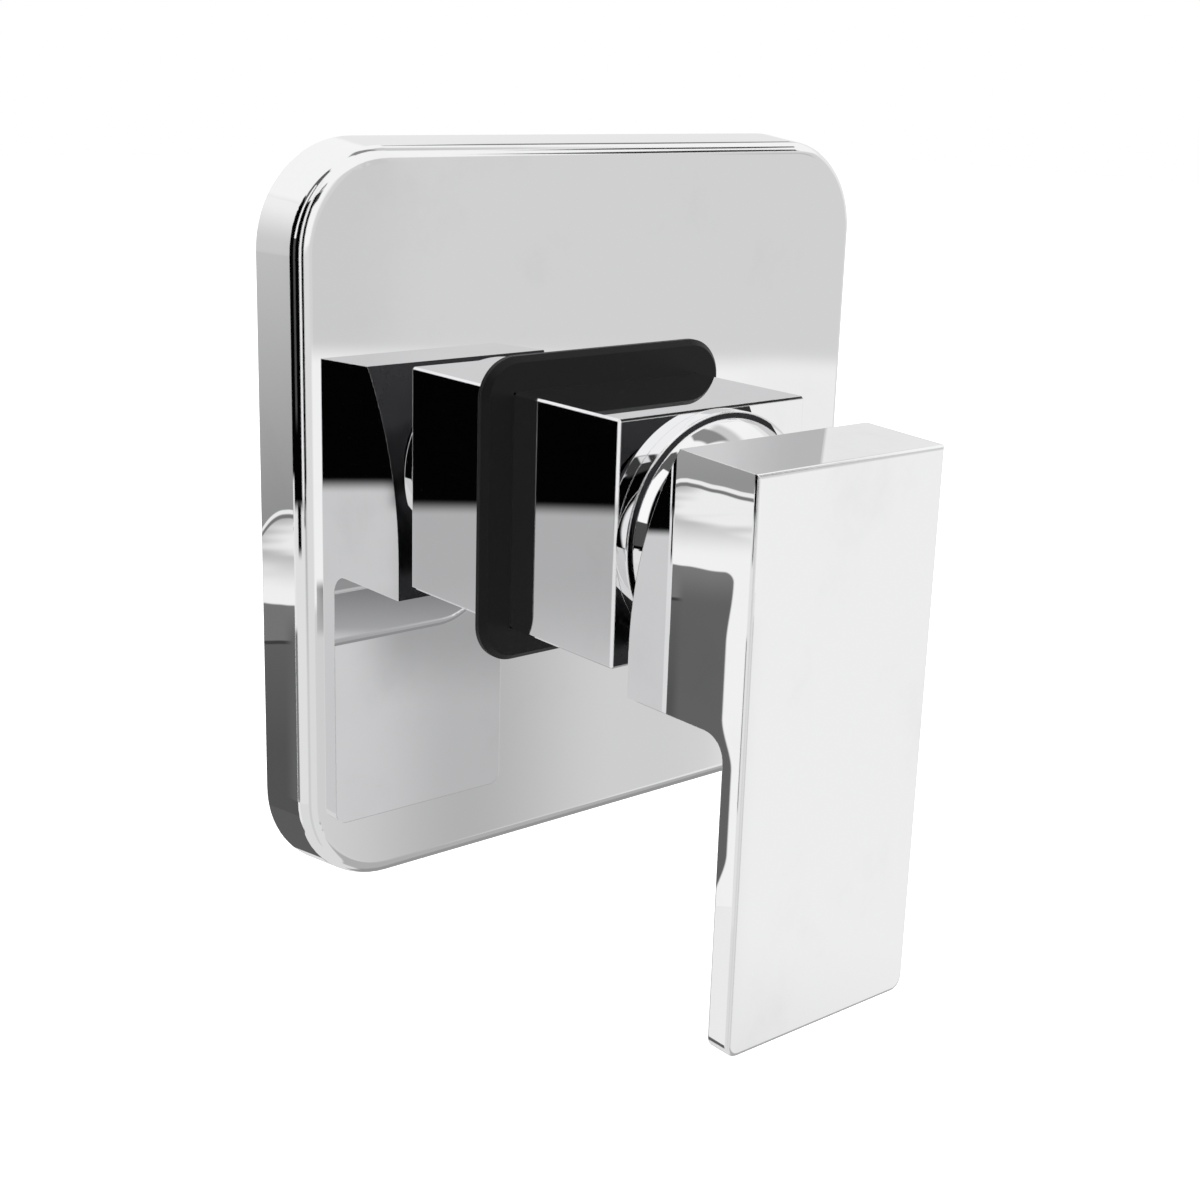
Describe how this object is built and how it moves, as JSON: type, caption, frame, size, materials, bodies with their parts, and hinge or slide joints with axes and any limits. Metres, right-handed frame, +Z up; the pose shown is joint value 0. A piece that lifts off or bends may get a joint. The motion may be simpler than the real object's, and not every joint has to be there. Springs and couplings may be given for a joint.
{
  "type": "concealed single lever shower valve",
  "caption": "Concealed shower mixer valve with a square wall plate, square sleeve, domed cap and a flat paddle lever that lifts for flow and turns for temperature.",
  "frame": {"origin": "the valve's axis in the plane of the finished wall, at the centre of the wall plate's back", "axes": "+Z up, -Y out of the wall towards the user, +X to the user's right"},
  "size_m": [0.15, 0.1538, 0.1688],
  "materials": {
    "chrome_plate": "mirror polished",
    "chrome_sleeve": "mirror polished",
    "chrome_dome": "mirror polished",
    "chrome_handle": "mirror polished",
    "black_rubber": "smooth moulded",
    "seal_rubber": "smooth",
    "foam_seal": "fine foam",
    "black_plastic": "moulded",
    "cap_plastic": "moulded",
    "white_plastic": "moulded",
    "grey_plastic": "moulded",
    "ceramic": "lapped",
    "steel": "turned",
    "raw_brass": "cast, with machined faces",
    "machined_brass": "turned"
  },
  "bodies": {
    "fixed_valve": {"valve_body": "raw_brass", "body_fixing_screws": "steel", "wall_plate": "chrome_plate", "plate_wall_seal": "foam_seal", "plate_gasket": "black_rubber", "square_sleeve": "chrome_sleeve", "sleeve_guide_ring": "black_plastic", "neck_o_ring": "seal_rubber", "dome_cap": "chrome_dome", "cartridge_nut": "machined_brass", "cartridge_casing": "white_plastic", "cartridge_base": "grey_plastic", "base_seals": "seal_rubber", "disc_seals": "seal_rubber", "fixed_disc": "ceramic"},
    "turning_carrier": {"lever_carrier": "grey_plastic", "carrier_o_ring": "seal_rubber", "lever_pin": "steel"},
    "lever": {"handle": "chrome_handle", "lever_stem": "steel", "handle_set_screw": "steel", "screw_cap": "cap_plastic"},
    "sliding_disc": {"moving_disc": "ceramic", "disc_driver": "grey_plastic"}
  },
  "joints": [
    {"name": "temperature", "type": "hinge", "parent": "fixed_valve", "child": "turning_carrier", "pos_m": [0, -0.043, 0], "axis": [0, -1, 0], "range_deg": [-50, 50]},
    {"name": "lift", "type": "hinge", "parent": "turning_carrier", "child": "lever", "pos_m": [0, -0.043, 0], "axis": [-1, 0, 0], "range_deg": [0, 22]},
    {"name": "disc_slide", "type": "slide", "parent": "turning_carrier", "child": "sliding_disc", "axis": [0, 0, -1], "range_m": [0, 0.00565]}
  ],
  "couplings": [
    {"joint": "disc_slide", "follows": "lift", "m_per_rad": 0.014634}
  ]
}
